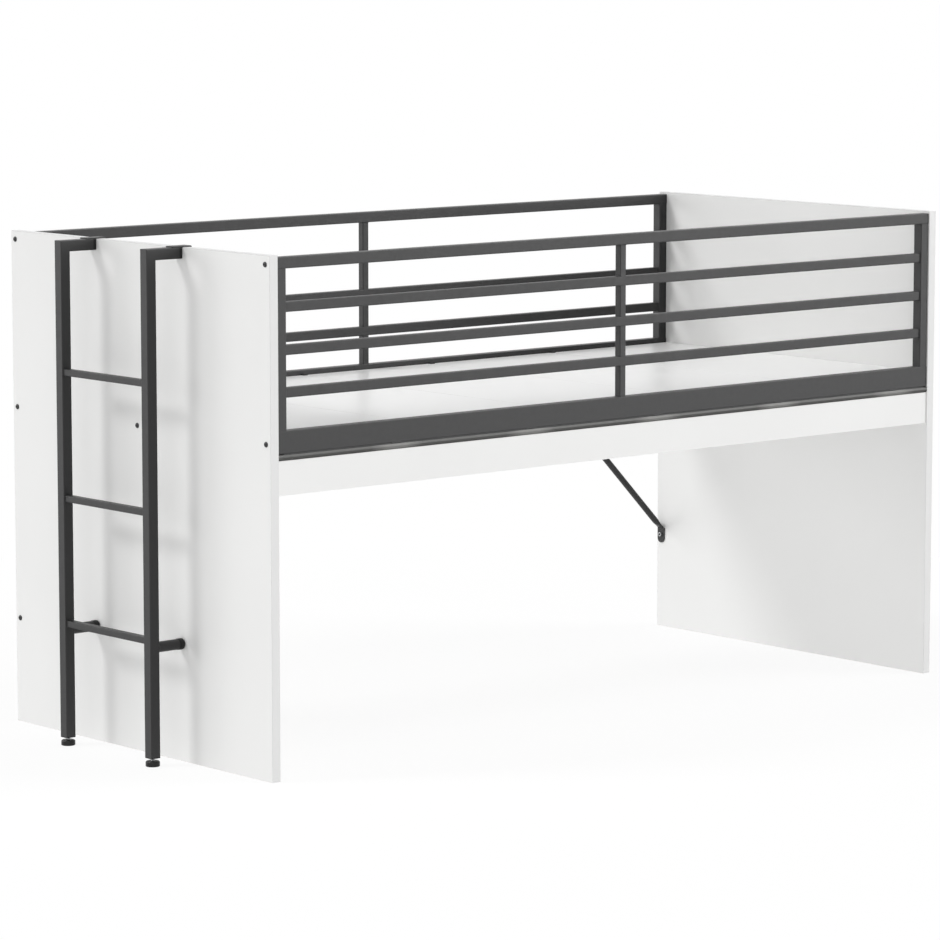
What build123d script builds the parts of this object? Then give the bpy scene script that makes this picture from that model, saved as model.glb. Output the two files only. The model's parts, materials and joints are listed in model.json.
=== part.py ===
from build123d import *
from math import sqrt
import os

# Mid sleeper bed: two board end panels carry welded tube guards and a boarded deck,
# and a hook-on ladder hangs over the left panel. Millimetres, +Z up, X along the bed.
# The origin is on the floor, under the middle of the whole object.

# Bed
bed_length = 2070.0
bed_width = 960.0
panel_height = 1145.0
panel_thickness = 22.0
band_thickness = 1.0

# Guard frames, welded from square and flat tube
tube_size = 25.0
tube_radius = 2.0
tube_wall = 1.5
guard_recess = 3.0
top_rail_top = 1140.0
bottom_rail_bottom = 715.0
bottom_rail_height = 50.0
infill_height = 22.0
infill_depth = 18.0
infill_wall = 1.2
infill_bottoms = {"lower_rail": 836.0, "middle_rail": 928.0, "upper_rail": 1021.0}
middle_post_size = 18.0
support_tube_height = 14.5
support_tube_depth = 30.0
smallest_radius = 0.5

# Fascia board under the front guard, with its dowels, brackets and screws
fascia_height = 75.5
fascia_thickness = 22.0
dowel_radius = 4.0
dowel_in_panel = 12.0
dowel_in_fascia = 24.0
bracket_leg = 30.0
bracket_wall = 2.0
screw_radius = 1.75
screw_length = 15.0
screw_head_radius = 3.5
screw_head_height = 1.5
screw_reach = 20.0

# Deck, its centre beam, ledges and clips
deck_board_count = 5
deck_top = 753.0
deck_thickness = 12.0
deck_gap = 1.0
beam_width = 40.0
beam_height = 20.0
beam_groove = 6.0
ledge_width = 30.0
ledge_drop = 25.0
ledge_wall = 3.0
ledge_end_gap = 30.0
clip_width = 12.0
clip_wall = 3.0
clip_reach = 12.0
clip_tab = 2.5
notch_play = 1.0

# Bolts, M6 with low button heads, and the threaded inserts in the tube ends
bolt_radius = 3.0
bolt_head_radius = 6.0
bolt_head_height = 3.2
bolt_head_rim = 1.0
bolt_shoulder_radius = 4.5
bolt_shoulder_height = 2.7
bolt_crown_radius = 3.0
socket_radius = 2.3
socket_depth = 2.0
hole_play = 0.25
thread_play = 0.05
top_bolt_height = 1125.5
bottom_bolt_height = 738.0
rail_bolt_length = 45.0
insert_length = 30.0

# Diagonal braces, round tube with flattened and bent ends
brace_radius = 8.0
brace_wall = 1.2
brace_tab_width = 25.0
brace_tab_wall = 3.0
brace_bend_height = 260.0
brace_tab_bottom = 222.0
brace_bolt_height = 244.0
brace_tab_length = 38.0
brace_screw_reach = 22.0
brace_screw_length = 14.0
flatten_length = 34.0
nut_height = 5.0
nut_across_flats = 10.0

# Ladder
ladder_reach = 97.5
stile_spacing = 320.0
stile_bottom = 18.0
rung_depth = 18.0
rung_height = 15.0
rung_top = 287.5
rung_pitch = 285.0
rung_count = 3
face_play = 0.2
hook_wall = 3.0
hook_overlap = 27.0
hook_lip = 37.0
hook_play = 0.5
standoff_radius = 12.0
standoff_height = 265.0
standoff_cap_radius = 12.8
standoff_cap_length = 14.0
standoff_cap_rounding = 4.0
arm_cap_length = 8.0

# Levelling feet, M8 stems that turn in a swivel foot
foot_radius = 16.0
foot_height = 12.5
foot_rounding = 4.0
foot_edge = 1.0
stem_radius = 4.0
stem_play = 0.1
stem_top = 42.0
stem_head_radius = 7.0
stem_head_height = 3.0
stem_head_bottom = 4.0
socket_play = 0.3
insert_flange = 2.5
insert_flange_rounding = 1.2
foot_insert_top = 45.0

# Places worked out from the dimensions above
foot_reach = ladder_reach - tube_size / 2 + foot_radius
overall_length = foot_reach + bed_length + bolt_head_height
left_outer = foot_reach - overall_length / 2
left_inner = left_outer + panel_thickness
right_outer = left_outer + bed_length
right_inner = right_outer - panel_thickness
inner_length = right_inner - left_inner
middle_x = (left_inner + right_inner) / 2
front_edge = -bed_width / 2
back_edge = bed_width / 2
guard_y = {
    "front": front_edge + guard_recess + tube_size / 2,
    "back": back_edge - guard_recess - tube_size / 2,
}
inwards_y = {"front": 1, "back": -1}
top_rail_bottom = top_rail_top - tube_size
bottom_rail_top = bottom_rail_bottom + bottom_rail_height
support_tube_bottom = bottom_rail_bottom - support_tube_height
fascia_top = support_tube_bottom
fascia_bottom = fascia_top - fascia_height
fascia_front = front_edge + guard_recess
fascia_back = fascia_front + fascia_thickness
dowel_y = fascia_front + fascia_thickness / 2
dowel_heights = (fascia_bottom + fascia_height / 4, fascia_top - fascia_height / 4)
bracket_bottom = fascia_bottom + (fascia_height - bracket_leg) / 2
screw_heights = (bracket_bottom + bracket_leg / 4, bracket_bottom + bracket_leg * 3 / 4)
deck_bottom = deck_top - deck_thickness
beam_top = deck_bottom + beam_groove
beam_middle = beam_top - beam_height / 2
board_pitch = inner_length / deck_board_count
seam_places = [left_inner + board_pitch * number for number in range(1, deck_board_count)]
hole_radius = bolt_radius + hole_play
thread_radius = bolt_radius + thread_play
insert_size = tube_size - 2 * tube_wall
brace_y = guard_y["back"]
rail_bolt_places = [(y, z) for y in guard_y.values() for z in (top_bolt_height, bottom_bolt_height)]
panel_bolt_places = rail_bolt_places + [(0, beam_middle)]
brace_bolt_place = (brace_y, brace_bolt_height)
ladder_front = left_outer - ladder_reach
stile_x = ladder_front + tube_size / 2
stile_y = {"left": stile_spacing / 2, "right": -stile_spacing / 2}

os.makedirs("parts", exist_ok=True)


def keep(block, name):
    """Labels the finished piece of a block and writes it."""
    block.part.label = name
    export_step(block.part, "parts/" + name + ".step")


def hollow_section(width, height, radius, wall, places):
    """Draws a hollow rounded tube section at each of the sketch's places."""
    with Locations(*places):
        RectangleRounded(width, height, radius)
        RectangleRounded(
            width - 2 * wall,
            height - 2 * wall,
            max(radius - wall, smallest_radius),
            mode=Mode.SUBTRACT,
        )


# End panels. Each is a faced board with a thin band round its front, back and top edges.
def end_panel(name, outer_x, inner_x, inwards):
    """Makes one panel's board, with its bolt holes, blind dowel holes and screw holes."""
    board_height = panel_height - band_thickness
    with BuildPart() as panel:
        with BuildSketch(Plane.YZ.offset(min(outer_x, inner_x))):
            with Locations((0, board_height / 2)):
                Rectangle(bed_width - 2 * band_thickness, board_height)
            with Locations(*panel_bolt_places, brace_bolt_place):
                Circle(hole_radius, mode=Mode.SUBTRACT)
        extrude(amount=panel_thickness)
        with BuildSketch(Plane.YZ.offset(inner_x)):
            with Locations(*[(dowel_y, height) for height in dowel_heights]):
                Circle(dowel_radius + thread_play)
        extrude(amount=-inwards * dowel_in_panel, mode=Mode.SUBTRACT)
        with BuildSketch(Plane.YZ.offset(inner_x)):
            with Locations(*[(fascia_back + screw_reach, height) for height in screw_heights]):
                Circle(screw_radius + thread_play)
        extrude(amount=-inwards * screw_length, mode=Mode.SUBTRACT)
    keep(panel, name)


def edge_band(name, low_x):
    """Makes the band that runs up the front edge, over the top and down the back edge."""
    with BuildPart() as band:
        with BuildSketch(Plane.YZ.offset(low_x)):
            with Locations((0, panel_height / 2)):
                Rectangle(bed_width, panel_height)
            with Locations((0, (panel_height - band_thickness) / 2)):
                Rectangle(
                    bed_width - 2 * band_thickness,
                    panel_height - band_thickness,
                    mode=Mode.SUBTRACT,
                )
        extrude(amount=panel_thickness)
    keep(band, name)


end_panel("left_end_panel", left_outer, left_inner, 1)
end_panel("right_end_panel", right_outer, right_inner, -1)
edge_band("left_edge_band", left_outer)
edge_band("right_edge_band", right_inner)


# Guards. The front and the back one have the same pieces.
def guard_rail(name, y, bottom, depth, height, wall, start_x, length):
    """Makes one rail along X."""
    with BuildPart() as rail:
        with BuildSketch(Plane.YZ.offset(start_x)):
            hollow_section(depth, height, tube_radius, wall, [(y, bottom + height / 2)])
        extrude(amount=length)
    keep(rail, name)


def guard_post(name, x, y):
    """Makes one end post between the bottom rail and the top rail."""
    with BuildPart() as post:
        with BuildSketch(Plane.XY.offset(bottom_rail_top)):
            hollow_section(tube_size, tube_size, tube_radius, tube_wall, [(x, y)])
        extrude(amount=top_rail_bottom - bottom_rail_top)
    keep(post, name)


def middle_post(name, y):
    """Makes the middle post's four pieces, one in each gap between the rails."""
    rail_bottoms = [*infill_bottoms.values(), top_rail_bottom]
    rail_tops = [bottom_rail_top] + [bottom + infill_height for bottom in infill_bottoms.values()]
    with BuildPart() as post:
        for low, high in zip(rail_tops, rail_bottoms):
            with BuildSketch(Plane.XY.offset(low)):
                hollow_section(
                    middle_post_size, middle_post_size, tube_radius, infill_wall, [(middle_x, y)]
                )
            extrude(amount=high - low)
    keep(post, name)


def support_tube(name, y, screw_places):
    """Makes the flat-oval tube welded under a bottom rail, with holes for the brace screws."""
    with BuildPart() as tube:
        with BuildSketch(Plane.YZ.offset(left_inner)):
            with Locations((y, bottom_rail_bottom - support_tube_height / 2)):
                SlotOverall(support_tube_depth, support_tube_height)
                SlotOverall(
                    support_tube_depth - 2 * tube_wall,
                    support_tube_height - 2 * tube_wall,
                    mode=Mode.SUBTRACT,
                )
        extrude(amount=inner_length)
        if screw_places:
            with BuildSketch(Plane.XY.offset(support_tube_bottom)):
                with Locations(*screw_places):
                    Circle(thread_radius)
            extrude(amount=support_tube_height / 2, mode=Mode.SUBTRACT)
    keep(tube, name)


brace_rise = support_tube_bottom - brace_tab_wall / 2 - brace_bend_height
brace_reach = brace_tab_wall / 2 + brace_rise
brace_screw_places = [
    (left_inner + brace_reach + brace_screw_reach, brace_y),
    (right_inner - brace_reach - brace_screw_reach, brace_y),
]

for side, y in guard_y.items():
    guard_rail(
        side + "_top_rail", y, top_rail_bottom, tube_size, tube_size, tube_wall, left_inner, inner_length
    )
    guard_rail(
        side + "_bottom_rail",
        y,
        bottom_rail_bottom,
        tube_size,
        bottom_rail_height,
        tube_wall,
        left_inner,
        inner_length,
    )
    for rail_name, bottom in infill_bottoms.items():
        guard_rail(
            side + "_" + rail_name,
            y,
            bottom,
            infill_depth,
            infill_height,
            infill_wall,
            left_inner + tube_size,
            inner_length - 2 * tube_size,
        )
    guard_post(side + "_left_post", left_inner + tube_size / 2, y)
    guard_post(side + "_right_post", right_inner - tube_size / 2, y)
    middle_post(side + "_middle_post", y)
    support_tube(side + "_support_tube", y, brace_screw_places if side == "back" else [])


# Fascia board, doweled into the panels and held by an angle bracket at each end
with BuildPart() as fascia_board:
    with BuildSketch(Plane.YZ.offset(left_inner)):
        with Locations((dowel_y, (fascia_top + fascia_bottom) / 2)):
            Rectangle(fascia_thickness, fascia_height)
    extrude(amount=inner_length)
    for face_x, inwards in ((left_inner, 1), (right_inner, -1)):
        with BuildSketch(Plane.YZ.offset(face_x)):
            with Locations(*[(dowel_y, height) for height in dowel_heights]):
                Circle(dowel_radius + thread_play)
        extrude(amount=inwards * dowel_in_fascia, mode=Mode.SUBTRACT)
        with BuildSketch(Plane.XZ.offset(-fascia_back)):
            with Locations(*[(face_x + inwards * screw_reach, height) for height in screw_heights]):
                Circle(screw_radius + thread_play)
        extrude(amount=screw_length, mode=Mode.SUBTRACT)
keep(fascia_board, "fascia_board")

with BuildPart() as fascia_dowels:
    for face_x, inwards in ((left_inner, 1), (right_inner, -1)):
        with BuildSketch(Plane.YZ.offset(face_x - inwards * dowel_in_panel)):
            with Locations(*[(dowel_y, height) for height in dowel_heights]):
                Circle(dowel_radius)
        extrude(amount=inwards * (dowel_in_panel + dowel_in_fascia))
keep(fascia_dowels, "fascia_dowels")

with BuildPart() as fascia_brackets:
    for face_x, inwards in ((left_inner, 1), (right_inner, -1)):
        with BuildSketch(Plane.XY.offset(bracket_bottom)):
            with BuildLine():
                Polyline(
                    (face_x, fascia_back),
                    (face_x + inwards * bracket_leg, fascia_back),
                    (face_x + inwards * bracket_leg, fascia_back + bracket_wall),
                    (face_x + inwards * bracket_wall, fascia_back + bracket_wall),
                    (face_x + inwards * bracket_wall, fascia_back + bracket_leg),
                    (face_x, fascia_back + bracket_leg),
                    close=True,
                )
            make_face()
        extrude(amount=bracket_leg)
        with BuildSketch(Plane.XZ.offset(-fascia_back - bracket_wall)):
            with Locations(*[(face_x + inwards * screw_reach, height) for height in screw_heights]):
                Circle(screw_radius + hole_play)
        extrude(amount=bracket_wall, mode=Mode.SUBTRACT)
        with BuildSketch(Plane.YZ.offset(face_x)):
            with Locations(*[(fascia_back + screw_reach, height) for height in screw_heights]):
                Circle(screw_radius + hole_play)
        extrude(amount=inwards * bracket_wall, mode=Mode.SUBTRACT)
keep(fascia_brackets, "fascia_brackets")

# One wood screw along -Z, with the underside of its pan head at the origin
with BuildPart() as wood_screw:
    with BuildSketch(Plane.XY):
        Circle(screw_head_radius)
    extrude(amount=screw_head_height)
    fillet(wood_screw.edges().group_by(Axis.Z)[-1], screw_head_height / 2)
    with BuildSketch(Plane.XY):
        Circle(screw_radius)
    extrude(amount=-screw_length + 2 * bracket_wall)

with BuildPart() as fascia_screws:
    for face_x, inwards in ((left_inner, 1), (right_inner, -1)):
        for height in screw_heights:
            on_panel = (face_x + inwards * bracket_wall, fascia_back + screw_reach, height)
            with Locations(Location(on_panel, (0, inwards * 90, 0))):
                add(wood_screw.part)
            on_fascia = (face_x + inwards * screw_reach, fascia_back + bracket_wall, height)
            with Locations(Location(on_fascia, (-90, 0, 0))):
                add(wood_screw.part)
keep(fascia_screws, "fascia_screws")


# Deck. Boards lie side by side between the guards, on two ledges and a beam in a groove.
with BuildPart() as centre_beam:
    with BuildSketch(Plane.YZ.offset(left_inner)):
        hollow_section(beam_width, beam_height, tube_radius, tube_wall, [(0, beam_middle)])
    extrude(amount=inner_length)
keep(centre_beam, "centre_beam")

deck_depth = bed_width - 2 * (guard_recess + tube_size + deck_gap)
for number in range(deck_board_count):
    low_x = left_inner + board_pitch * number + deck_gap / 2
    high_x = left_inner + board_pitch * (number + 1) - deck_gap / 2
    with BuildPart() as deck_board:
        with BuildSketch(Plane.XY.offset(deck_bottom)):
            with Locations(((low_x + high_x) / 2, 0)):
                Rectangle(high_x - low_x, deck_depth)
            for seam_x in seam_places:
                if low_x - deck_gap <= seam_x <= high_x + deck_gap:
                    for side, inwards in inwards_y.items():
                        notch_y = guard_y[side] + inwards * tube_size / 2
                        with Locations((seam_x, notch_y)):
                            Rectangle(
                                clip_width + 2 * notch_play,
                                2 * (clip_wall + notch_play),
                                mode=Mode.SUBTRACT,
                            )
        extrude(amount=deck_thickness)
        with BuildSketch(Plane.YZ.offset(low_x)):
            with Locations((0, deck_bottom)):
                Rectangle(beam_width + 2 * notch_play, 2 * beam_groove)
        extrude(amount=high_x - low_x, mode=Mode.SUBTRACT)
    keep(deck_board, "deck_board_" + str(number + 1))

for side, inwards in inwards_y.items():
    rail_face = guard_y[side] + inwards * tube_size / 2
    with BuildPart() as deck_ledge:
        with BuildSketch(Plane.YZ.offset(left_inner + ledge_end_gap)):
            with BuildLine():
                Polyline(
                    (rail_face, deck_bottom),
                    (rail_face + inwards * ledge_width, deck_bottom),
                    (rail_face + inwards * ledge_width, deck_bottom - ledge_wall),
                    (rail_face + inwards * ledge_wall, deck_bottom - ledge_wall),
                    (rail_face + inwards * ledge_wall, deck_bottom - ledge_drop),
                    (rail_face, deck_bottom - ledge_drop),
                    close=True,
                )
            make_face()
        extrude(amount=inner_length - 2 * ledge_end_gap)
    keep(deck_ledge, side + "_deck_ledge")

with BuildPart() as deck_clips:
    for side, inwards in inwards_y.items():
        rail_face = guard_y[side] + inwards * tube_size / 2
        for seam_x in seam_places:
            with BuildSketch(Plane.YZ.offset(seam_x - clip_width / 2)):
                with BuildLine():
                    Polyline(
                        (rail_face, deck_bottom),
                        (rail_face + inwards * clip_wall, deck_bottom),
                        (rail_face + inwards * clip_wall, deck_top),
                        (rail_face + inwards * clip_reach, deck_top),
                        (rail_face + inwards * clip_reach, deck_top + clip_tab),
                        (rail_face, deck_top + clip_tab),
                        close=True,
                    )
                make_face()
            extrude(amount=clip_width)
keep(deck_clips, "deck_clips")


# Bolts. Each shank runs along +Z from the underside of its head at the origin.
def button_bolt(length):
    """Makes one low button-head bolt with a hexagon socket."""
    with BuildPart() as bolt:
        with BuildSketch(Plane.XZ):
            with BuildLine():
                Line((0, 0), (bolt_head_radius, 0))
                Line((bolt_head_radius, 0), (bolt_head_radius, -bolt_head_rim))
                ThreePointArc(
                    (bolt_head_radius, -bolt_head_rim),
                    (bolt_shoulder_radius, -bolt_shoulder_height),
                    (bolt_crown_radius, -bolt_head_height),
                )
                Line((bolt_crown_radius, -bolt_head_height), (0, -bolt_head_height))
                Line((0, -bolt_head_height), (0, 0))
            make_face()
        revolve(axis=Axis.Z)
        with BuildSketch(Plane.XY.offset(-bolt_head_height)):
            RegularPolygon(socket_radius, 6)
        extrude(amount=socket_depth, mode=Mode.SUBTRACT)
        with BuildSketch(Plane.XY):
            Circle(bolt_radius)
        extrude(amount=length)
    return bolt.part


rail_bolt = button_bolt(rail_bolt_length)
brace_bolt_length = panel_thickness + brace_tab_wall + nut_height + bolt_head_rim
brace_bolt = button_bolt(brace_bolt_length)
brace_screw = button_bolt(brace_screw_length)

for name, face_x, turn in (("left_panel_bolts", left_outer, 90), ("right_panel_bolts", right_outer, -90)):
    with BuildPart() as panel_bolts:
        for y, z in panel_bolt_places:
            with Locations(Location((face_x, y, z), (0, turn, 0))):
                add(rail_bolt)
        with Locations(Location((face_x, *brace_bolt_place), (0, turn, 0))):
            add(brace_bolt)
    keep(panel_bolts, name)

# Threaded inserts, pressed into the ends of the rails and of the beam
with BuildPart() as tube_end_inserts:
    for face_x, inwards in ((left_inner, 1), (right_inner, -1)):
        with BuildSketch(Plane.YZ.offset(face_x)):
            with Locations(*[(y, top_rail_top - tube_size / 2) for y in guard_y.values()]):
                RectangleRounded(insert_size, insert_size, smallest_radius)
            with Locations(*[(y, bottom_rail_bottom + bottom_rail_height / 2) for y in guard_y.values()]):
                RectangleRounded(insert_size, bottom_rail_height - 2 * tube_wall, smallest_radius)
            with Locations((0, beam_middle)):
                RectangleRounded(beam_width - 2 * tube_wall, beam_height - 2 * tube_wall, smallest_radius)
            with Locations(*panel_bolt_places):
                Circle(thread_radius, mode=Mode.SUBTRACT)
        extrude(amount=inwards * insert_length)
keep(tube_end_inserts, "tube_end_inserts")


# Diagonal braces. The tube is pressed flat at both ends, and the flats are bent into tabs.
def brace(name, face_x, inwards):
    """Makes the brace from one panel's inner face up to the back support tube."""
    run = brace_rise * sqrt(2)
    direction = Vector(inwards, 0, 1).normalized()
    low_bend = Vector(face_x + inwards * brace_tab_wall / 2, brace_y, brace_bend_height)
    high_bend = low_bend + direction * run
    # Share of the flattened length, then half the width and half the height of the section there
    stages = (
        (0.0, brace_tab_width / 2, brace_tab_wall / 2),
        (0.3, brace_tab_width * 0.47, brace_radius * 0.38),
        (0.7, brace_radius * 1.14, brace_radius * 0.84),
        (1.0, brace_radius, brace_radius),
    )
    with BuildPart() as tube:
        for end, along in ((low_bend, direction), (high_bend, -direction)):
            for share, half_width, half_height in stages:
                place = Plane(end + along * (flatten_length * share), x_dir=(0, 1, 0), z_dir=along)
                with BuildSketch(place):
                    if share < 1.0:
                        Ellipse(half_width, half_height)
                    else:
                        Circle(half_width)
            loft()
        start = Plane(low_bend + direction * flatten_length, x_dir=(0, 1, 0), z_dir=direction)
        with BuildSketch(start):
            Circle(brace_radius)
            Circle(brace_radius - brace_wall, mode=Mode.SUBTRACT)
        extrude(amount=run - 2 * flatten_length)
        for bend in (low_bend, high_bend):
            with BuildSketch(Plane.XZ.offset(-brace_y - brace_tab_width / 2)):
                with Locations((bend.X, bend.Z)):
                    Circle(brace_tab_wall / 2)
            extrude(amount=brace_tab_width)
        with BuildSketch(Plane.YZ.offset(face_x)):
            with Locations((brace_y, brace_tab_bottom + brace_tab_width / 2)):
                Circle(brace_tab_width / 2)
                Rectangle(
                    brace_tab_width,
                    brace_bend_height - brace_tab_bottom - brace_tab_width / 2,
                    align=(Align.CENTER, Align.MIN),
                )
            with Locations(brace_bolt_place):
                Circle(hole_radius, mode=Mode.SUBTRACT)
        extrude(amount=inwards * brace_tab_wall)
        with BuildSketch(Plane.XY.offset(support_tube_bottom - brace_tab_wall)):
            tab_end = high_bend.X + inwards * (brace_tab_length - brace_tab_width / 2)
            with Locations((tab_end, brace_y)):
                Circle(brace_tab_width / 2)
            with Locations(((high_bend.X + tab_end) / 2, brace_y)):
                Rectangle(abs(tab_end - high_bend.X), brace_tab_width)
            with Locations((face_x + inwards * (brace_reach + brace_screw_reach), brace_y)):
                Circle(hole_radius, mode=Mode.SUBTRACT)
        extrude(amount=brace_tab_wall)
    keep(tube, name)


brace("left_brace", left_inner, 1)
brace("right_brace", right_inner, -1)

with BuildPart() as brace_nuts:
    for face_x, inwards in ((left_inner, 1), (right_inner, -1)):
        with BuildSketch(Plane.YZ.offset(face_x + inwards * brace_tab_wall)):
            with Locations(brace_bolt_place):
                RegularPolygon(nut_across_flats / 2, 6, major_radius=False)
                Circle(thread_radius, mode=Mode.SUBTRACT)
        extrude(amount=inwards * nut_height)
keep(brace_nuts, "brace_nuts")

with BuildPart() as brace_screws:
    for place in brace_screw_places:
        with Locations(Location((*place, support_tube_bottom - brace_tab_wall))):
            add(brace_screw)
keep(brace_screws, "brace_screws")


# Ladder. Two stiles turn into short arms at the top, with a mitre at each corner.
arm_end = left_outer - face_play - arm_cap_length
arm_cap_end = left_outer - face_play
mitre_direction = Vector(1, 0, 1)

for side, y in stile_y.items():
    mitre = Plane((ladder_front, y, panel_height), x_dir=(0, 1, 0), z_dir=mitre_direction)
    with BuildPart() as stile:
        with BuildSketch(Plane.XY.offset(stile_bottom + insert_flange)):
            hollow_section(tube_size, tube_size, tube_radius, tube_wall, [(stile_x, y)])
        extrude(amount=panel_height - stile_bottom - insert_flange)
        split(bisect_by=mitre, keep=Keep.BOTTOM)
    keep(stile, "ladder_" + side + "_stile")

    with BuildPart() as arm:
        with BuildSketch(Plane.YZ.offset(ladder_front)):
            hollow_section(
                tube_size, tube_size, tube_radius, tube_wall, [(y, panel_height - tube_size / 2)]
            )
        extrude(amount=arm_end - ladder_front)
        split(bisect_by=mitre, keep=Keep.TOP)
    keep(arm, "ladder_" + side + "_arm")

    lip_x = left_inner + hook_play
    with BuildPart() as hook:
        with BuildSketch(Plane.XZ.offset(-y - tube_size / 2)):
            with BuildLine():
                Polyline(
                    (left_outer - hook_overlap, panel_height),
                    (lip_x, panel_height),
                    (lip_x, panel_height - hook_lip),
                    (lip_x + hook_wall, panel_height - hook_lip),
                    (lip_x + hook_wall, panel_height + hook_wall),
                    (left_outer - hook_overlap, panel_height + hook_wall),
                    close=True,
                )
            make_face()
        extrude(amount=tube_size)
        outer_corner = hook.edges().filter_by(Axis.Y).group_by(Axis.X)[-1].sort_by(Axis.Z)[-1]
        fillet(outer_corner, hook_wall - smallest_radius)
    keep(hook, "ladder_" + side + "_hook")

    with BuildPart() as standoff:
        with BuildSketch(Plane.YZ.offset(ladder_front + tube_size)):
            with Locations((y, standoff_height)):
                Circle(standoff_radius)
                Circle(standoff_radius - tube_wall, mode=Mode.SUBTRACT)
        extrude(amount=ladder_reach - tube_size - standoff_cap_length / 2)
    keep(standoff, "ladder_" + side + "_standoff")

with BuildPart() as standoff_caps:
    for y in stile_y.values():
        with BuildSketch(Plane.YZ.offset(arm_cap_end)):
            with Locations((y, standoff_height)):
                Circle(standoff_cap_radius)
        extrude(amount=-standoff_cap_length)
    fillet(standoff_caps.edges().group_by(Axis.X)[-1], standoff_cap_rounding)
    with BuildSketch(Plane.YZ.offset(ladder_front + ladder_reach - standoff_cap_length / 2)):
        with Locations(*[(y, standoff_height) for y in stile_y.values()]):
            Circle(standoff_radius)
    extrude(amount=-standoff_cap_length, mode=Mode.SUBTRACT)
keep(standoff_caps, "ladder_standoff_caps")

with BuildPart() as arm_caps:
    with BuildSketch(Plane.YZ.offset(arm_end)):
        with Locations(*[(y, panel_height - tube_size / 2) for y in stile_y.values()]):
            RectangleRounded(tube_size, tube_size, tube_radius)
    extrude(amount=arm_cap_length)
keep(arm_caps, "ladder_arm_caps")

for number in range(rung_count):
    rung_place = (stile_x, rung_top + rung_pitch * number - rung_height / 2)
    with BuildPart() as rung:
        with BuildSketch(Plane.XZ.offset(-stile_y["right"] - tube_size / 2)):
            hollow_section(rung_depth, rung_height, tube_radius, infill_wall, [rung_place])
        extrude(amount=-(stile_spacing - tube_size))
    keep(rung, "ladder_rung_" + str(number + 1))


# Levelling feet. A threaded stem turns in the stile's insert and in its swivel foot.
with BuildPart() as foot_inserts:
    for y in stile_y.values():
        with BuildSketch(Plane.XY.offset(stile_bottom)):
            with Locations((stile_x, y)):
                RectangleRounded(tube_size, tube_size, tube_radius)
        extrude(amount=insert_flange)
    fillet(foot_inserts.edges().group_by(Axis.Z)[0], insert_flange_rounding)
    for y in stile_y.values():
        with BuildSketch(Plane.XY.offset(stile_bottom + insert_flange)):
            with Locations((stile_x, y)):
                RectangleRounded(insert_size, insert_size, smallest_radius)
        extrude(amount=foot_insert_top - stile_bottom - insert_flange)
        with BuildSketch(Plane.XY.offset(stile_bottom)):
            with Locations((stile_x, y)):
                Circle(stem_radius + stem_play)
        extrude(amount=foot_insert_top - stile_bottom, mode=Mode.SUBTRACT)
keep(foot_inserts, "ladder_foot_inserts")

for side, y in stile_y.items():
    with BuildPart() as stem:
        with BuildSketch(Plane.XY.offset(stem_head_bottom)):
            with Locations((stile_x, y)):
                Circle(stem_head_radius)
        extrude(amount=stem_head_height)
        with BuildSketch(Plane.XY.offset(stem_head_bottom)):
            with Locations((stile_x, y)):
                Circle(stem_radius)
        extrude(amount=stem_top - stem_head_bottom)
    keep(stem, side + "_foot_stem")

    with BuildPart() as foot:
        with BuildSketch(Plane.XY):
            with Locations((stile_x, y)):
                Circle(foot_radius)
        extrude(amount=foot_height)
        fillet(foot.edges().group_by(Axis.Z)[-1], foot_rounding)
        chamfer(foot.edges().group_by(Axis.Z)[0], foot_edge)
        with BuildSketch(Plane.XY.offset(stem_head_bottom - socket_play)):
            with Locations((stile_x, y)):
                Circle(stem_head_radius + socket_play)
        extrude(amount=stem_head_height + 2 * socket_play, mode=Mode.SUBTRACT)
        with BuildSketch(Plane.XY.offset(foot_height)):
            with Locations((stile_x, y)):
                Circle(stem_radius + stem_play)
        extrude(amount=stem_head_bottom - foot_height, mode=Mode.SUBTRACT)
    keep(foot, side + "_foot")
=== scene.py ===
import json
import math

import bmesh
import bpy
from mathutils import Euler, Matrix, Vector


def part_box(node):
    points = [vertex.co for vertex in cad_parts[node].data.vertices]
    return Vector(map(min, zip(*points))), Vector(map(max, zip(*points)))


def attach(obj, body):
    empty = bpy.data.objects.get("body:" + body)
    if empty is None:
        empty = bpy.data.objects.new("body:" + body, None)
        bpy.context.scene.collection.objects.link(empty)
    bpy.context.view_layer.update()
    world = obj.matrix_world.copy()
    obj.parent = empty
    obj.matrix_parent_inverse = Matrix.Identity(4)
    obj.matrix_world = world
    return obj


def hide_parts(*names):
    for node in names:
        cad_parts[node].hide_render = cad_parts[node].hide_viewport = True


# Mid sleeper bed: white board end panels and deck, dark powder-coated tube guards and a hook-on ladder.
# Metres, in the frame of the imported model.
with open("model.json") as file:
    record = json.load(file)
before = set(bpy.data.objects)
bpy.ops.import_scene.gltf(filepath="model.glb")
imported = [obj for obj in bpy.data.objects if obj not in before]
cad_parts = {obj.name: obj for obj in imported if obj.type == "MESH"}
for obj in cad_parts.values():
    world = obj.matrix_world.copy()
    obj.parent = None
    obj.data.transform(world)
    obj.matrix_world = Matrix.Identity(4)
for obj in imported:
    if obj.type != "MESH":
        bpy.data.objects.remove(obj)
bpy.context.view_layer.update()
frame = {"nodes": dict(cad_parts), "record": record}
nodes = frame["nodes"]

MM = 0.001
X_WAY = Vector((1, 0, 0))
Y_WAY = Vector((0, 1, 0))
Z_WAY = Vector((0, 0, 1))

# Camera, as the photograph shows the bed
CAMERA_PLACE = (-6.6173, -7.6523, 1.8844)
CAMERA_YAW = math.radians(40.823)
CAMERA_PITCH = math.radians(-7.504)
CAMERA_LENS = 163.98
CAMERA_SENSOR = 36.0
CAMERA_REACH = 100.0

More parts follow.
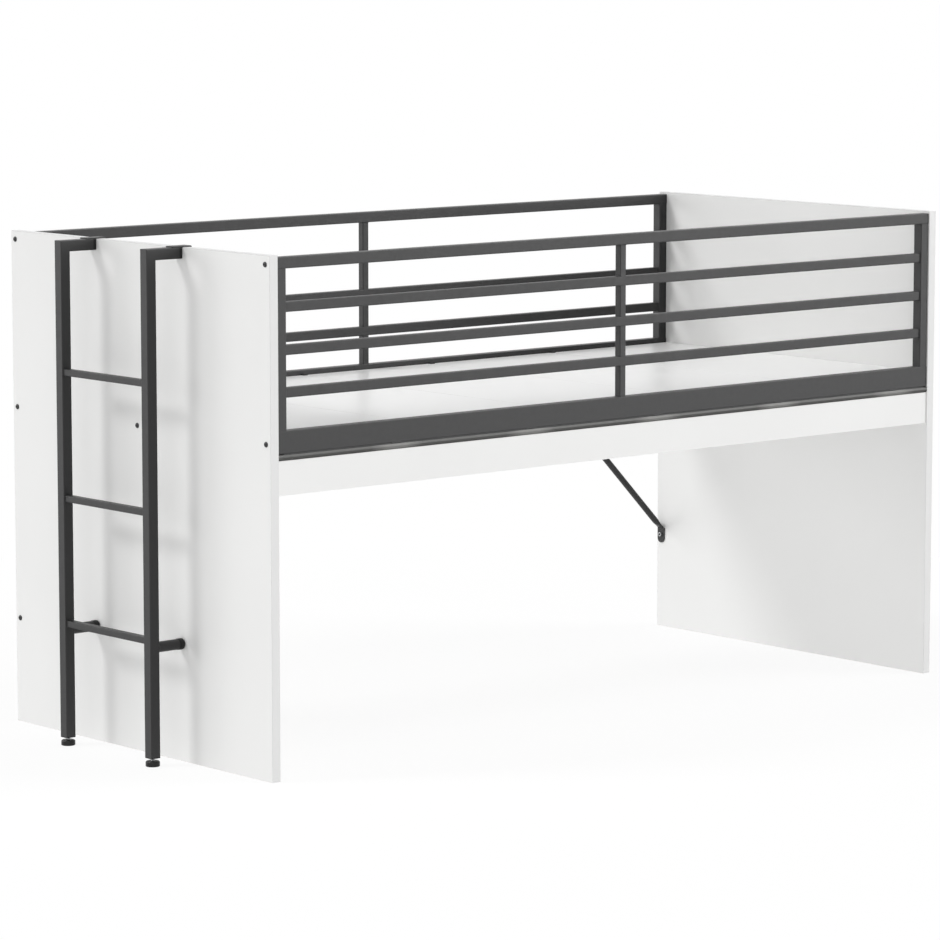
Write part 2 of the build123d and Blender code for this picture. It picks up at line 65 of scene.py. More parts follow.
# Lamps. Azimuths run from +X towards +Y. A level of 1 lights a white face that is turned to the lamp
# to full white.
LAMPS = {
    "key_lamp": {"azimuth": 150, "height": 40, "softness": 16, "level": 0.33},
    "rim_lamp": {"azimuth": 128, "height": 9, "softness": 26, "level": 0.17},
    "fill_lamp": {"azimuth": 222, "height": 8, "softness": 60, "level": 0.17},
    "side_lamp": {"azimuth": -46, "height": 8, "softness": 30, "level": 0.31},
    "top_lamp": {"azimuth": 210, "height": 85, "softness": 80, "level": 0.38},
    "crest_lamp": {"azimuth": -35, "height": 38, "softness": 30, "level": 0.27},
}
SKY_LEVEL = 0.11

# Stage, a white light table
TABLE_HALF_SIZE = 8.0
TABLE_GLOW = 0.97
SHADOW_FREE_SHARE = 0.87
SHADOW_RADIUS = 1.6
STAGE_RADIUS = 2.6

# Colours
WHITE = (1.0, 1.0, 1.0, 1.0)
BOARD_WHITE = (0.825, 0.825, 0.817)
BAND_WHITE = (0.74, 0.74, 0.737)
# The deck's facing painted lighter than the board white: painted light on the deck's top
DECK_LIT_WHITE = (0.93, 0.93, 0.925)
CHIPBOARD = (0.52, 0.37, 0.22)
COAT_BLACK = (0.016, 0.016, 0.0163)
# The same coat painted paler for the support tubes, a painted highlight along the strip under each guard
STRIP_HIGHLIGHT_GREY = (0.034, 0.034, 0.031)
# A paler copy of the coat, painted beside the stitch welds as a painted highlight
STITCH_HIGHLIGHT_GREY = (0.15, 0.15, 0.142)
BOLT_BLACK = (0.022, 0.022, 0.023)
PLASTIC_BLACK = (0.006, 0.006, 0.006)
ZINC = (0.56, 0.57, 0.58)
BEECH = (0.62, 0.42, 0.24)

# Stitch welds, which follow each other at one pitch under each guard. Beside them the coat gets a painted
# highlight.
STITCH_START = -0.632
STITCH_PITCH = 0.394
STITCH_COUNT = 5
STITCH_HIGHLIGHT_CORE = 25.0 * MM
STITCH_HIGHLIGHT_REACH = 75.0 * MM

# The values between which noise and the distances in cells are spread out
NOISE_LOW = 0.3
NOISE_HIGH = 0.7
CELL_LOW = 0.1
CELL_HIGH = 0.7

# How alike the rounded and the true normal are, on an edge and on a flat face
EDGE_LIKENESS = 0.80
FLAT_LIKENESS = 0.995
EDGE_SAMPLES = 4

# Heights between which a board's standing edge ends and its facing starts
STANDING_LOW = 0.1 * MM
STANDING_HIGH = 0.3 * MM

# Sockets of a Mix node that mixes colours
COLOUR_MIX_INPUTS = (0, 6, 7)
COLOUR_MIX_RESULT = 2


class Surface:
    """One procedural material, built up node by node round a Principled shader."""

    def __init__(self, name, colour, roughness):
        self.material = bpy.data.materials.new(name)
        self.material.use_nodes = True
        self.tree = self.material.node_tree
        self.shader = self.tree.nodes["Principled BSDF"]
        self.roughness = roughness
        self.put(colour, self.shader.inputs["Base Color"])
        self.put(roughness, self.shader.inputs["Roughness"])
        self.place = self.tree.nodes.new("ShaderNodeTexCoord").outputs["Object"]
        self.bump = None

    def put(self, value, socket):
        """Links a socket to another one, or sets its value. A colour is given as a plain triple."""
        if isinstance(value, bpy.types.NodeSocket):
            self.tree.links.new(value, socket)
        elif socket.type == "RGBA":
            socket.default_value = (*value, 1)
        else:
            socket.default_value = value

    def node(self, kind, **values):
        """Adds a node. Values are its settings, or its inputs where the name is one of theirs."""
        made = self.tree.nodes.new(kind)
        for key, value in values.items():
            if hasattr(made, key):
                setattr(made, key, value)
            else:
                self.put(value, made.inputs[key])
        return made

    def arithmetic(self, operation, first, second):
        """The result of a Math node."""
        made = self.node("ShaderNodeMath", operation=operation)
        self.put(first, made.inputs[0])
        self.put(second, made.inputs[1])
        return made.outputs["Value"]

    def part_of_place(self, axis):
        """The X, Y or Z of the place on the object."""
        return self.node("ShaderNodeSeparateXYZ", Vector=self.place).outputs[axis]

    def stretched(self, scale):
        """Object coordinates, each axis scaled by its own amount."""
        return self.node("ShaderNodeMapping", Vector=self.place, Scale=scale).outputs["Vector"]

    def noise(self, scale, detail, place=None):
        """Noise between 0 and 1, its scale in cells to a metre."""
        made = self.node("ShaderNodeTexNoise", Vector=place or self.place, Scale=scale, Detail=detail)
        return made.outputs["Fac"]

    def cells(self, scale):
        """Distance to the middle of the nearest cell, the scale in cells to a metre."""
        return self.node("ShaderNodeTexVoronoi", Vector=self.place, Scale=scale).outputs["Distance"]

    def spread(self, value, low, high, from_low=NOISE_LOW, from_high=NOISE_HIGH):
        """Maps a value to the range from low to high. It is taken to be noise unless its range is given."""
        made = self.node("ShaderNodeMapRange")
        for amount, socket in zip((value, from_low, from_high, low, high), made.inputs):
            self.put(amount, socket)
        return made.outputs["Result"]

    def mix(self, share, first, second):
        """Mixes two colours."""
        made = self.node("ShaderNodeMix", data_type="RGBA")
        for number, amount in zip(COLOUR_MIX_INPUTS, (share, first, second)):
            self.put(amount, made.inputs[number])
        return made.outputs[COLOUR_MIX_RESULT]

    def shades(self, share, colour, first, second):
        """Mixes two shades of one colour, each given as a factor of it."""
        return self.mix(share, shade(colour, first), shade(colour, second))

    def noise_shades(self, noise, colour, darkest, lightest):
        """Shades of one colour that follow noise."""
        return self.shades(self.spread(noise, 0.0, 1.0), colour, darkest, lightest)

    def cell_shades(self, cells, colour, middle, rim):
        """Shades of one colour from the middle of each cell to its rim."""
        return self.shades(self.spread(cells, 0.0, 1.0, CELL_LOW, CELL_HIGH), colour, middle, rim)

    def paint(self, colour):
        """Sets the base colour."""
        self.put(colour, self.shader.inputs["Base Color"])

    def gloss(self, noise, smoother, rougher):
        """Varies the roughness with noise, by those amounts down and up."""
        varied = self.spread(noise, self.roughness - smoother, self.roughness + rougher)
        self.put(varied, self.shader.inputs["Roughness"])

    def raise_by(self, height, depth, strength):
        """Adds relief of that depth, over any that is there already."""
        made = self.node("ShaderNodeBump", Height=height, Distance=depth, Strength=strength)
        if self.bump is not None:
            self.put(self.bump, made.inputs["Normal"])
        self.bump = made.outputs["Normal"]
        self.put(self.bump, self.shader.inputs["Normal"])

    def edges(self, radius):
        """About 1 along sharp edges and 0 on flat faces."""
        rounded = self.node("ShaderNodeBevel", samples=EDGE_SAMPLES, Radius=radius).outputs["Normal"]
        flat = self.node("ShaderNodeNewGeometry").outputs["Normal"]
        alike = self.node("ShaderNodeVectorMath", operation="DOT_PRODUCT")
        self.put(rounded, alike.inputs[0])
        self.put(flat, alike.inputs[1])
        return self.spread(alike.outputs["Value"], 1.0, 0.0, EDGE_LIKENESS, FLAT_LIKENESS)

    def near_stitches(self):
        """1 beside the stitch welds, else 0."""
        offset = self.arithmetic("SUBTRACT", self.part_of_place("X"), STITCH_START)
        distance = self.arithmetic("PINGPONG", offset, STITCH_PITCH / 2)
        return self.spread(distance, 1.0, 0.0, STITCH_HIGHLIGHT_CORE, STITCH_HIGHLIGHT_REACH)

    def on_the_floor(self):
        """1 where the board stands on the floor, else 0."""
        return self.spread(self.part_of_place("Z"), 1.0, 0.0, STANDING_LOW, STANDING_HIGH)


def shade(colour, factor):
    """The colour made lighter or darker."""
    return tuple(channel * factor for channel in colour)


# Grains of the materials, in cells to a metre
BOARD_CLOUDS = 2.2
BOARD_SHEEN = 34.0
BOARD_WAVES = 9.0
BOARD_PEARL = 1300.0
BOARD_CHIPS = 260.0
BAND_LINES = (2600.0, 5.0, 5.0)
BAND_SHEEN = 60.0
COAT_GRAIN = 1500.0
COAT_SHEEN = 90.0
COAT_WAVES = 14.0
COAT_PEEL = 420.0
COAT_GRIT = 1900.0
PLASTIC_SPARKS = 2400.0
PLASTIC_SHEEN = 120.0
DRAWN_LINES = (900.0, 900.0, 40.0)
WOOD_GRAIN = (30.0, 700.0, 700.0)

# Other values of the materials
# Width of the painted shade along the deck boards' seams
SEAM_SHADE_WIDTH = 3.5 * MM
COAT_EDGE_WIDTH = 1.6 * MM
COAT_EDGE_LIGHTENING = 0.5
COAT_EDGE_SHADE = 1.7
COAT_SHINE = 0.42
STRIP_SHINE = 0.5
PLASTIC_SHINE = 0.3


# Materials
def faced_board(name, colour, roughness, seam_shade=None):
    """White melamine with a fine pearl relief. The bare chips of the core show where a board stands.
    A seam shade paints shade along the facing's edges, for the shadow in the seams between boards."""
    surface = Surface(name, colour, roughness)
    clouds = surface.noise(BOARD_CLOUDS, detail=3.0)
    face = surface.noise_shades(clouds, colour, darkest=0.985, lightest=1.015)
    if seam_shade:
        # Painted shade along the edges, for the shadow in the seams
        face = surface.mix(surface.edges(SEAM_SHADE_WIDTH), face, shade(colour, seam_shade))
    core = surface.cell_shades(surface.cells(BOARD_CHIPS), CHIPBOARD, middle=1.25, rim=0.6)
    surface.paint(surface.mix(surface.on_the_floor(), face, core))
    surface.gloss(surface.noise(BOARD_SHEEN, detail=4.0), smoother=0.05, rougher=0.05)
    surface.raise_by(surface.noise(BOARD_WAVES, detail=1.0), depth=0.6 * MM, strength=0.25)
    surface.raise_by(surface.noise(BOARD_PEARL, detail=2.0), depth=0.06 * MM, strength=0.35)
    return surface.material


def edge_strip(name, colour, roughness):
    """Smooth plastic band, with the faint lines that its trimming leaves along it."""
    surface = Surface(name, colour, roughness)
    lines = surface.noise(scale=1.0, detail=2.0, place=surface.stretched(BAND_LINES))
    surface.paint(surface.noise_shades(lines, colour, darkest=0.985, lightest=1.01))
    surface.gloss(surface.noise(BAND_SHEEN, detail=3.0), smoother=0.04, rougher=0.06)
    surface.raise_by(lines, depth=0.03 * MM, strength=0.4)
    return surface.material


def powder_coat(name, colour, roughness, shine=COAT_SHINE, stitch_highlight=None):
    """Fine-textured powder coat, lighter along its sharp edges. A stitch highlight colour is painted beside
    the stitch welds as a painted highlight.
    """
    surface = Surface(name, colour, roughness)
    grain = surface.noise(COAT_GRAIN, detail=2.0)
    ground = surface.noise_shades(grain, colour, darkest=0.86, lightest=1.16)
    # The coat is mixed towards a lighter shade along sharp edges
    edge_share = surface.arithmetic("MULTIPLY", surface.edges(COAT_EDGE_WIDTH), COAT_EDGE_LIGHTENING)
    coat = surface.mix(edge_share, ground, shade(colour, COAT_EDGE_SHADE))
    if stitch_highlight:
        # Painted highlight: a paler grey beside each stitch weld
        coat = surface.mix(surface.near_stitches(), coat, stitch_highlight)
    surface.paint(coat)
    surface.gloss(surface.noise(COAT_SHEEN, detail=4.0), smoother=0.04, rougher=0.05)
    surface.raise_by(surface.noise(COAT_WAVES, detail=1.0), depth=0.4 * MM, strength=0.15)
    surface.raise_by(surface.noise(COAT_PEEL, detail=2.0), depth=0.12 * MM, strength=0.30)
    surface.raise_by(surface.noise(COAT_GRIT, detail=3.0), depth=0.09 * MM, strength=0.45)
    surface.shader.inputs["Specular IOR Level"].default_value = shine
    return surface.material


def moulded_plastic(name, colour, roughness):
    """Black moulded plastic with a fine spark-eroded grain."""
    surface = Surface(name, colour, roughness)
    sparks = surface.cells(PLASTIC_SPARKS)
    surface.paint(surface.cell_shades(sparks, colour, middle=0.85, rim=1.2))
    surface.gloss(surface.noise(PLASTIC_SHEEN, detail=3.0), smoother=0.05, rougher=0.06)
    surface.raise_by(sparks, depth=0.05 * MM, strength=0.5)
    surface.shader.inputs["Specular IOR Level"].default_value = PLASTIC_SHINE
    return surface.material


def plated_steel(name, colour, roughness):
    """Bright plated steel with faint drawing lines."""
    surface = Surface(name, colour, roughness)
    surface.shader.inputs["Metallic"].default_value = 1.0
    lines = surface.noise(scale=1.0, detail=3.0, place=surface.stretched(DRAWN_LINES))
    surface.paint(surface.noise_shades(lines, colour, darkest=0.85, lightest=1.08))
    surface.gloss(lines, smoother=0.06, rougher=0.10)
    surface.raise_by(lines, depth=0.03 * MM, strength=0.5)
    return surface.material


def turned_beech(name, colour, roughness):
    """Beech of the turned dowels, with its grain along X."""
    surface = Surface(name, colour, roughness)
    grain = surface.noise(scale=1.0, detail=5.0, place=surface.stretched(WOOD_GRAIN))
    surface.paint(surface.noise_shades(grain, colour, darkest=0.75, lightest=1.12))
    surface.raise_by(grain, depth=0.1 * MM, strength=0.5)
    return surface.material


FINISHES = {
    "white_board": faced_board("melamine_board", BOARD_WHITE, roughness=0.45),
    "white_edge": edge_strip("edge_band", BAND_WHITE, roughness=0.36),
    # Painted light: the deck is faced in a lighter copy of the board white, with painted shade along its
    # seams
    "white_deck": faced_board("deck_facing", DECK_LIT_WHITE, roughness=0.33, seam_shade=0.62),
    "black_metal": powder_coat("powder_coat", COAT_BLACK, roughness=0.44),
    "black_bolt": powder_coat("bolt_coat", BOLT_BLACK, roughness=0.36),
    "black_plastic": moulded_plastic("moulded_cap", PLASTIC_BLACK, roughness=0.5),
    "foot_plastic": moulded_plastic("moulded_foot", PLASTIC_BLACK, roughness=0.38),
    "zinc_steel": plated_steel("zinc_plate", ZINC, roughness=0.32),
    "beech": turned_beech("beech_dowel", BEECH, roughness=0.6),
}
STRIP_FINISH = powder_coat("strip_coat", STRIP_HIGHLIGHT_GREY, roughness=0.36, shine=STRIP_SHINE, stitch_highlight=STITCH_HIGHLIGHT_GREY)


def dress_nodes():
    """Gives every CAD node its finish. The support tubes under the guards have a glossier coat, painted
    paler as a painted highlight along them.
    """
    for subpart in frame["record"]["subparts"]:
        finish = FINISHES[subpart["material_slot"]]
        if subpart["node"].endswith("support_tube"):
            finish = STRIP_FINISH
        piece = nodes[subpart["node"]]
        piece.data.materials.clear()
        piece.data.materials.append(finish)


# Softened edges: the width in millimetres for the nodes with that word in their names
EDGE_SOFTNESS = {
    "end_panel": 0.25,
    "edge_band": 0.35,
    "fascia_board": 0.6,
    "deck_board": 1.4,
    "hook": 0.5,
    "arm_caps": 0.8,
    "deck_ledge": 0.5,
    "deck_clips": 0.4,
    "brackets": 0.3,
    "brace_nuts": 0.4,
}
JOIN_DISTANCE = 0.01 * MM
FLAT_ANGLE = math.radians(1)
SHARP_ANGLE = math.radians(40)
EDGE_SEGMENTS = 2
LARGE_FACES_FIRST = 100


def soften_edges(piece, width):
    """Rounds a node's sharp edges by modifiers, which leave its mesh as it is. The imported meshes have
    split and extra edges, so each is joined and cleaned first."""
    join = piece.modifiers.new("join", "WELD")
    join.merge_threshold = JOIN_DISTANCE
    clean = piece.modifiers.new("clean", "DECIMATE")
    clean.decimate_type = "DISSOLVE"
    clean.angle_limit = FLAT_ANGLE
    rounding = piece.modifiers.new("rounding", "BEVEL")
    rounding.width = width
    rounding.segments = EDGE_SEGMENTS
    rounding.limit_method = "ANGLE"
    rounding.angle_limit = SHARP_ANGLE
    rounding.use_clamp_overlap = True
    normals = piece.modifiers.new("normals", "WEIGHTED_NORMAL")
    normals.keep_sharp = False
    normals.weight = LARGE_FACES_FIRST


def soften_nodes():
    """Softens the nodes that are named above."""
    for node_name, piece in nodes.items():
        for word, width in EDGE_SOFTNESS.items():
            if word in node_name:
                soften_edges(piece, width * MM)


# Weld beads. A bead is swept with the ripple that a weld pool leaves.
BEAD_PITCH = 2.4 * MM
BEAD_STEPS = 3
BEAD_SIDES = 6
BEAD_SWELL = 1.06
BEAD_RIPPLE = 0.16
BEAD_TAPER = 0.4
TUBE_ROUNDING = 2.0 * MM
CORNER_STEPS = 3
ROUND_STEPS = 8
CORNER_BEAD = 1.5 * MM
LOOP_BEAD = 1.25 * MM
GROOVE_BEAD = 0.85 * MM
GROOVE_DEPTH = 0.9 * MM
GROOVE_OFFSET = 0.45 * MM
SEAM_BEAD = 1.6 * MM
SEAM_INSET = 1.2 * MM
SEAM_DROP = 0.8 * MM
STITCH_BEAD = 2.1 * MM
STITCH_LENGTH = 30.0 * MM
STITCH_INSET = 1.0 * MM
MITRE_BEAD = 0.8 * MM
MITRE_SINK = 0.65 * MM
INFILL_RAILS = ("lower_rail", "middle_rail", "upper_rail")
RUNG_COUNT = 3
BOTH_SIDES = (-1, 1)


def point_along(corners, runs, along):
    """The point that far along a line of corners, and the direction of its run."""
    number = 0
    while number < len(runs) - 1 and along > runs[number]:
        along -= runs[number]
        number += 1
    way = (corners[number + 1] - corners[number]).normalized()
    return corners[number] + way * min(along, runs[number]), way


def even_steps(points, closed):
    """Points spaced evenly along a line, with the direction of the line at each."""
    corners = list(points)
    if closed:
        corners.append(corners[0])
    runs = [(end - start).length for start, end in zip(corners, corners[1:])]
    total = sum(runs)
    count = max(2, round(total / (BEAD_PITCH / BEAD_STEPS)))
    stops = count if closed else count + 1
    return [point_along(corners, runs, total * number / count) for number in range(stops)]


def add_tube(mesh, rings, closed):
    """Joins rings of points to a tube, with ends where it isn't closed on itself."""
    pairs = list(zip(rings, rings[1:]))
    if closed:
        pairs.append((rings[-1], rings[0]))
    for first, second in pairs:
        for corner in range(len(first)):
            after = (corner + 1) % len(first)
            mesh.faces.new((first[corner], first[after], second[after], second[corner]))
    if not closed:
        mesh.faces.new(list(reversed(rings[0])))
        mesh.faces.new(rings[-1])


def add_bead(mesh, points, normal, radius, closed=False):
    """Sweeps one bead along points that lie in a plane with that normal."""
    steps = even_steps(points, closed)
    rings = []
    for number, (place, way) in enumerate(steps):
        ripple = (number % BEAD_STEPS) / BEAD_STEPS
        size = radius * (BEAD_SWELL - BEAD_RIPPLE * ripple)
        if not closed and number in (0, len(steps) - 1):
            size *= BEAD_TAPER
        across = way.cross(normal).normalized()
        ring = []
        for corner in range(BEAD_SIDES):
            turn = 2 * math.pi * corner / BEAD_SIDES
            offset = (across * math.cos(turn) + normal * math.sin(turn)) * size
            ring.append(mesh.verts.new(place + offset))
        rings.append(ring)
    add_tube(mesh, rings, closed)


def line(middle, way, length):
    """The two ends of a straight line."""
    return [middle - way * (length / 2), middle + way * (length / 2)]


def loop(middle, first_way, second_way, first_half, second_half, rounding=TUBE_ROUNDING, steps=CORNER_STEPS):
    """The outline of a rounded rectangle."""
    points = []
    for first_sign, second_sign, start in ((1, 1, 0), (-1, 1, 90), (-1, -1, 180), (1, -1, 270)):
        first_centre = first_sign * (first_half - rounding)
        second_centre = second_sign * (second_half - rounding)
        for step in range(steps + 1):
            turn = math.radians(start + 90 * step / steps)
            first = first_centre + rounding * math.cos(turn)
            second = second_centre + rounding * math.sin(turn)
            points.append(middle + first_way * first + second_way * second)
    return points


def add_piece(name, mesh, body, slot):
    """Makes a finished piece from a bmesh. It rides on that body."""
    data = bpy.data.meshes.new(name)
    bmesh.ops.recalc_face_normals(mesh, faces=mesh.faces)
    mesh.to_mesh(data)
    mesh.free()
    data.shade_smooth()
    data.materials.append(FINISHES[slot])
    piece = bpy.data.objects.new(name, data)
    bpy.context.scene.collection.objects.link(piece)
    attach(piece, body)
    return piece


def centre_and_half(node_name):
    """The middle of a node's box, and half its size."""
    low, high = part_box(node_name)
    return (low + high) / 2, (high - low) / 2


def flat_width(half):
    """The width of a tube's face between its rounded corners."""
    return 2 * (half - TUBE_ROUNDING)


def add_groove_beads(mesh, middle, half_depth, length, rail_side):
    """Beads in the two grooves that a flush post leaves beside a rail's rounded corners."""
    for face in BOTH_SIDES:
        inside = face * (half_depth - GROOVE_DEPTH)
        place = middle + Y_WAY * inside + Z_WAY * (rail_side * GROOVE_OFFSET)
        add_bead(mesh, line(place, X_WAY, length), Z_WAY, GROOVE_BEAD)


def add_corner_welds(mesh, side, y, joints):
    """Beads where a guard's end posts meet its top and bottom rails. Each joint is its height, and the way
    up or down to its rail."""
    for post_name, inwards in (("_left_post", 1), ("_right_post", -1)):
        post, post_half = centre_and_half(side + post_name)
        flat = flat_width(post_half.y)
        for height, rail_side in joints:
            corner = Vector((post.x + inwards * post_half.x, y, height))
            add_bead(mesh, line(corner, Y_WAY, flat), Z_WAY, CORNER_BEAD)
            add_groove_beads(mesh, Vector((post.x, y, height)), post_half.y, flat, rail_side)


def add_infill_welds(mesh, side):
    """Beads round both ends of a guard's infill rails."""
    for rail_name in INFILL_RAILS:
        rail, rail_half = centre_and_half(side + "_" + rail_name)
        for end in BOTH_SIDES:
            place = rail + X_WAY * (end * rail_half.x)
            outline = loop(place, Y_WAY, Z_WAY, rail_half.y, rail_half.z)
            add_bead(mesh, outline, X_WAY, LOOP_BEAD, closed=True)


def add_middle_post_welds(mesh, side, y, joints):
    """Beads round the ends of a guard's middle post, and where it meets the infill rails."""
    post, post_half = centre_and_half(side + "_middle_post")
    for height, _ in joints:
        outline = loop(Vector((post.x, y, height)), X_WAY, Y_WAY, post_half.x, post_half.y)
        add_bead(mesh, outline, Z_WAY, LOOP_BEAD, closed=True)
    flat = flat_width(post_half.y)
    for rail_name in INFILL_RAILS:
        rail, rail_half = centre_and_half(side + "_" + rail_name)
        for edge in BOTH_SIDES:
            height = rail.z + edge * rail_half.z
            add_groove_beads(mesh, Vector((post.x, y, height)), post_half.y, flat, -edge)
            for face in BOTH_SIDES:
                corner = Vector((post.x + face * post_half.x, y, height))
                add_bead(mesh, line(corner, Y_WAY, flat), Z_WAY, LOOP_BEAD)


def add_strip_welds(mesh, rail, rail_half):
    """The seams and the stitches between a guard's bottom rail and the support tube under it."""
    underside = rail.z - rail_half.z
    length = 2 * rail_half.x - STITCH_LENGTH
    for face in BOTH_SIDES:
        y = rail.y + face * (rail_half.y - SEAM_INSET)
        seam = Vector((rail.x, y, underside - SEAM_DROP))
        add_bead(mesh, line(seam, X_WAY, length), Z_WAY, SEAM_BEAD)
    for number in range(STITCH_COUNT):
        x = STITCH_START + STITCH_PITCH * number
        for face in BOTH_SIDES:
            y = rail.y + face * (rail_half.y - STITCH_INSET)
            stitch = Vector((x, y, underside))
            add_bead(mesh, line(stitch, X_WAY, STITCH_LENGTH), Z_WAY, STITCH_BEAD)


def guard_welds(side):
    """All the beads of one guard frame."""
    mesh = bmesh.new()
    top, top_half = centre_and_half(side + "_top_rail")
    bottom, bottom_half = centre_and_half(side + "_bottom_rail")
    joints = ((top.z - top_half.z, 1), (bottom.z + bottom_half.z, -1))
    add_corner_welds(mesh, side, top.y, joints)
    add_infill_welds(mesh, side)
    add_middle_post_welds(mesh, side, top.y, joints)
    add_strip_welds(mesh, bottom, bottom_half)
    add_piece(side + "_guard_welds", mesh, "bed", "black_metal")


def add_rung_welds(mesh):
    """Beads round both ends of each rung."""
    for number in range(1, RUNG_COUNT + 1):
        rung, rung_half = centre_and_half("ladder_rung_" + str(number))
        for end in BOTH_SIDES:
            place = rung + Y_WAY * (end * rung_half.y)
            outline = loop(place, X_WAY, Z_WAY, rung_half.x, rung_half.z)
            add_bead(mesh, outline, Y_WAY, LOOP_BEAD, closed=True)


def add_stile_welds(mesh, side):
    """Beads of one side of the ladder: its arm, its hook, its stand-off and its mitre."""
    arm, arm_half = centre_and_half("ladder_" + side + "_arm")
    stile, stile_half = centre_and_half("ladder_" + side + "_stile")
    standoff, standoff_half = centre_and_half("ladder_" + side + "_standoff")
    hook_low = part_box("ladder_" + side + "_hook")[0]
    flat = flat_width(stile_half.y)
    inner_x = stile.x + stile_half.x
    inner_corner = Vector((inner_x, arm.y, arm.z - arm_half.z))
    add_bead(mesh, line(inner_corner, Y_WAY, flat), Z_WAY, CORNER_BEAD)
    hook_edge = Vector((hook_low.x, arm.y, arm.z + arm_half.z))
    add_bead(mesh, line(hook_edge, Y_WAY, flat), Z_WAY, CORNER_BEAD)
    place = Vector((inner_x, standoff.y, standoff.z))
    radius = standoff_half.y
    outline = loop(place, Y_WAY, Z_WAY, radius, radius, rounding=radius, steps=ROUND_STEPS)
    add_bead(mesh, outline, X_WAY, LOOP_BEAD, closed=True)
    mitre_way = (X_WAY - Z_WAY).normalized()
    mitre_length = math.sqrt(2) * flat
    for face in BOTH_SIDES:
        y = stile.y + face * (stile_half.y - MITRE_SINK)
        add_bead(mesh, line(Vector((stile.x, y, arm.z)), mitre_way, mitre_length), Y_WAY, MITRE_BEAD)


def ladder_welds():
    """All the beads of the ladder."""
    mesh = bmesh.new()
    add_rung_welds(mesh)
    for side in ("left", "right"):
        add_stile_welds(mesh, side)
    add_piece("ladder_welds", mesh, "ladder", "black_metal")


# Levelling stems with their M8 threads
THREAD_PITCH = 1.25 * MM
THREAD_DEPTH = 0.72 * MM
THREAD_SIDES = 28
THREAD_ROWS = 5
STEM_RADIUS = 4.0 * MM
STEM_CORE = STEM_RADIUS - THREAD_DEPTH
STEM_HEAD_HEIGHT = 3.0 * MM
STEM_TIP = 1.0 * MM


def thread_radius(share, above, below):
    """A stem's radius at that share of a turn, given the heights above the thread's start and below its end,
    where it runs out."""
    phase = (above / THREAD_PITCH - share) % 1.0
    crest = 1 - abs(2 * phase - 1)
    run_out = min(1.0, above / STEM_TIP, below / STEM_TIP)
    return STEM_RADIUS - THREAD_DEPTH * (1 - run_out * crest)


def threaded_stem(side):
    """A stem with a round head and a helical thread, in place of its plain node."""
    stem, stem_half = centre_and_half(side + "_foot_stem")
    bottom = stem.z - stem_half.z
    top = stem.z + stem_half.z
    thread_start = bottom + STEM_HEAD_HEIGHT
    row_height = THREAD_PITCH / THREAD_ROWS
    row_count = int((top - thread_start) / row_height)
    shares = [number / THREAD_SIDES for number in range(THREAD_SIDES)]
    rows = [
        (bottom, [stem_half.x for share in shares]),
        (thread_start, [stem_half.x for share in shares]),
        (thread_start, [STEM_CORE for share in shares]),
    ]
    for number in range(1, row_count):
        above = row_height * number
        below = top - thread_start - above
        rows.append((thread_start + above, [thread_radius(share, above, below) for share in shares]))
    rows.append((top, [STEM_CORE - STEM_TIP / 2 for share in shares]))
    mesh = bmesh.new()
    rings = []
    for height, radii in rows:
        ring = []
        for share, radius in zip(shares, radii):
            turn = 2 * math.pi * share
            place = Vector((stem.x + radius * math.cos(turn), stem.y + radius * math.sin(turn), height))
            ring.append(mesh.verts.new(place))
        rings.append(ring)
    add_tube(mesh, rings, closed=False)
    piece = add_piece(side + "_threaded_stem", mesh, side + "_levelling_stem", "zinc_steel")
    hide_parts(side + "_foot_stem")


# Camera, lamps and stage
def place_camera():
    """The camera at the photograph's viewing angle."""
    data = bpy.data.cameras.new("camera")
    data.lens = CAMERA_LENS
    data.sensor_width = CAMERA_SENSOR
    data.clip_end = CAMERA_REACH
    camera = bpy.data.objects.new("camera", data)
    camera.location = CAMERA_PLACE
    level = math.cos(CAMERA_PITCH)
    ahead = Vector((math.sin(CAMERA_YAW) * level, math.cos(CAMERA_YAW) * level, math.sin(CAMERA_PITCH)))
    camera.rotation_euler = ahead.to_track_quat("-Z", "Y").to_euler()
    bpy.context.scene.collection.objects.link(camera)
    bpy.context.scene.camera = camera


def add_lamp(name, azimuth, height, softness, level):
    """A distant soft lamp at that azimuth and height, in degrees."""
    data = bpy.data.lights.new(name, "SUN")
    data.angle = math.radians(softness)
    data.energy = level * math.pi
    lamp = bpy.data.objects.new(name, data)
    towards = Vector((math.cos(math.radians(height)), 0, math.sin(math.radians(height))))
    towards.rotate(Euler((0, 0, math.radians(azimuth))))
    lamp.rotation_euler = towards.to_track_quat("Z", "Y").to_euler()
    bpy.context.scene.collection.objects.link(lamp)


def seen_directly(tree):
    """1 for rays that show the stage itself or mirror it, else 0."""
    path = tree.nodes.new("ShaderNodeLightPath")
    total = path.outputs["Is Camera Ray"]
    for name in ("Is Glossy Ray", "Is Transmission Ray"):
        largest = tree.nodes.new("ShaderNodeMath")
        largest.operation = "MAXIMUM"
        tree.links.new(total, largest.inputs[0])
        tree.links.new(path.outputs[name], largest.inputs[1])
        total = largest.outputs[0]
    return total


def add_mix(tree, share, first, second):
    """The result of a Mix Shader node between two shaders."""
    made = tree.nodes.new("ShaderNodeMixShader")
    for source, socket in zip((share, first, second), made.inputs):
        tree.links.new(source, socket)
    return made.outputs[0]


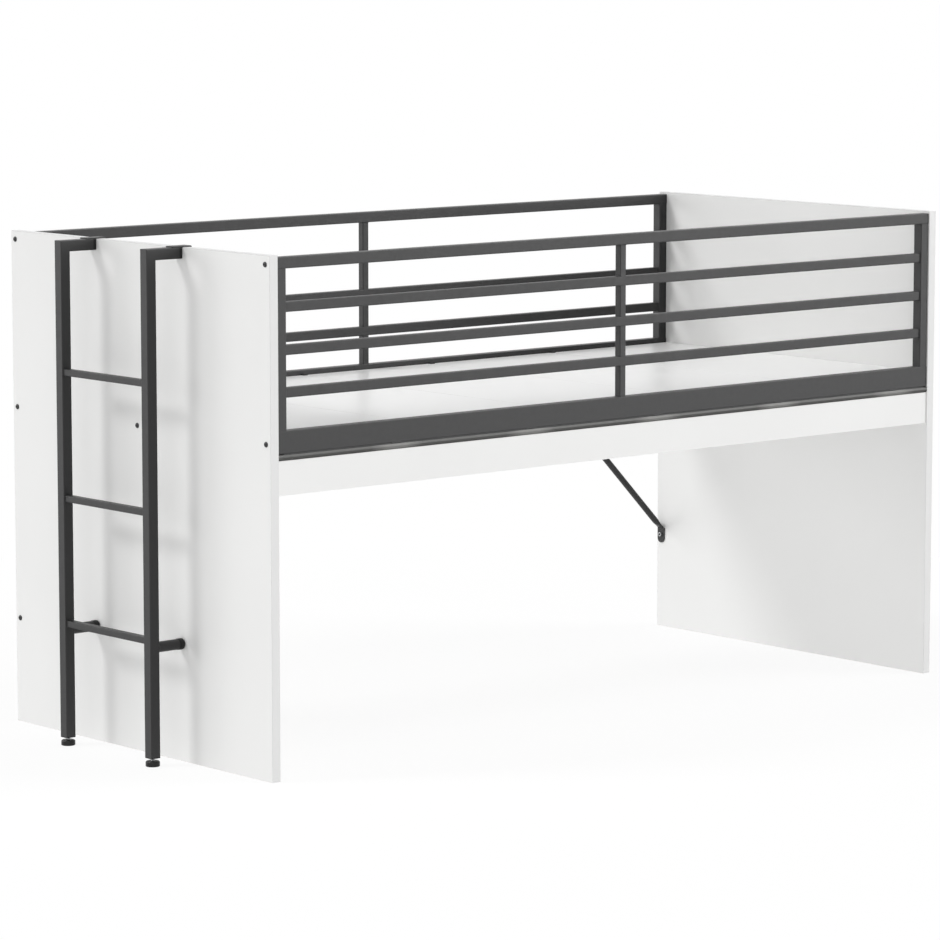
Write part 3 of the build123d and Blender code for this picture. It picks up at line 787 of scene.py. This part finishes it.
def light_the_world():
    """A plain sky for the light on the bed, seen as pure white."""
    world = bpy.data.worlds.new("studio")
    world.use_nodes = True
    tree = world.node_tree
    tree.nodes.clear()
    sky = tree.nodes.new("ShaderNodeBackground")
    sky.inputs["Strength"].default_value = SKY_LEVEL
    white = tree.nodes.new("ShaderNodeBackground")
    for background in (sky, white):
        background.inputs["Color"].default_value = WHITE
    out = tree.nodes.new("ShaderNodeOutputWorld")
    tree.links.new(add_mix(tree, seen_directly(tree), sky.outputs[0], white.outputs[0]), out.inputs[0])
    bpy.context.scene.world = world


def shadow_free_share(tree):
    """How much of the table's look is pure white: all of it far out, and most of it near the bed."""
    coordinates = tree.nodes.new("ShaderNodeTexCoord")
    distance = tree.nodes.new("ShaderNodeVectorMath")
    distance.operation = "LENGTH"
    fade = tree.nodes.new("ShaderNodeMapRange")
    fade.interpolation_type = "SMOOTHSTEP"
    for number, value in enumerate((SHADOW_RADIUS, STAGE_RADIUS, SHADOW_FREE_SHARE, 1.0), start=1):
        fade.inputs[number].default_value = value
    tree.links.new(coordinates.outputs["Object"], distance.inputs[0])
    tree.links.new(distance.outputs["Value"], fade.inputs[0])
    return fade.outputs[0]


def lay_table():
    """A white light table that fades into the background, and keeps a faint shadow near the bed."""
    size = TABLE_HALF_SIZE
    corners = [(-size, -size, 0), (size, -size, 0), (size, size, 0), (-size, size, 0)]
    mesh = bpy.data.meshes.new("light_table")
    mesh.from_pydata(corners, [], [(0, 1, 2, 3)])
    table = bpy.data.objects.new("light_table", mesh)
    bpy.context.scene.collection.objects.link(table)
    material = bpy.data.materials.new("light_table")
    material.use_nodes = True
    tree = material.node_tree
    tree.nodes.clear()
    glow = tree.nodes.new("ShaderNodeEmission")
    glow.inputs["Strength"].default_value = TABLE_GLOW
    shadowed = tree.nodes.new("ShaderNodeBsdfDiffuse")
    shadowed.inputs["Color"].default_value = WHITE
    white = tree.nodes.new("ShaderNodeEmission")
    shown = add_mix(tree, shadow_free_share(tree), shadowed.outputs[0], white.outputs[0])
    out = tree.nodes.new("ShaderNodeOutputMaterial")
    tree.links.new(add_mix(tree, seen_directly(tree), glow.outputs[0], shown), out.inputs[0])
    mesh.materials.append(material)


# The whole scene
dress_nodes()
soften_nodes()
guard_welds("front")
guard_welds("back")
ladder_welds()
threaded_stem("left")
threaded_stem("right")
place_camera()
for lamp_name, settings in LAMPS.items():
    add_lamp(lamp_name, **settings)
light_the_world()
lay_table()
bpy.context.scene.view_settings.view_transform = "Standard"
